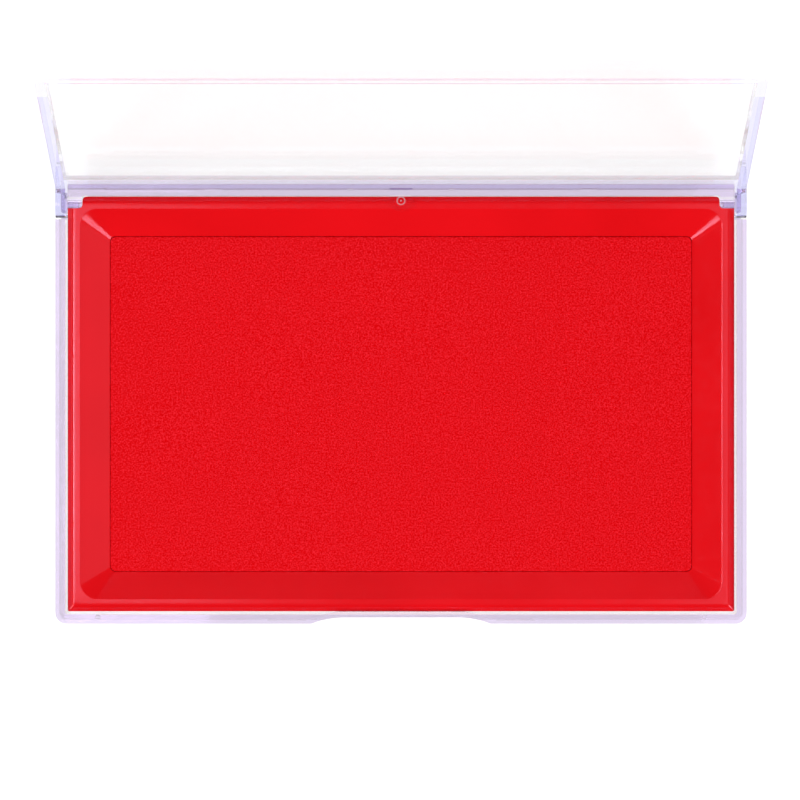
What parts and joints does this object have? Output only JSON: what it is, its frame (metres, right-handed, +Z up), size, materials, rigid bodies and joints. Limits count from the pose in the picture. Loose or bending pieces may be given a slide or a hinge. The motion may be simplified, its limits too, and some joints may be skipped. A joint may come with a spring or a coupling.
{
  "type": "ink pad",
  "caption": "Desk ink pad: clear hinged case holding a glossy red tray with a flat inked cloth pad for rubber stamps. The lid swings up and leans back on its stop.",
  "frame": {"origin": "centre of the flat underside of the case", "axes": "+X to the right along the case's width, +Y to the hinged rear edge, +Z up out of the pad"},
  "size_m": [0.14, 0.1101, 0.0918],
  "materials": {
    "clear_case": "clear polished moulding",
    "clear_lid": "clear polished moulding",
    "red_tray": "glossy moulding",
    "inked_cloth": "fine napped cloth, damp with ink",
    "sponge": "fine open sponge, soaked",
    "felt": "pressed felt, soaked",
    "tape": "matt double-sided tape"
  },
  "bodies": {
    "base": {"base_case": "clear_case", "insert_tray": "red_tray", "pad_cloth": "inked_cloth", "sponge_layer": "sponge", "felt_core": "felt", "fixing_tapes": "tape"},
    "lid": {"lid_cover": "clear_lid"}
  },
  "joints": [
    {"name": "lid_hinge", "type": "hinge", "parent": "base", "child": "lid", "pos_m": [0, 0.0403, 0.0096], "axis": [1, 0, 0], "range_deg": [0, 103]}
  ]
}
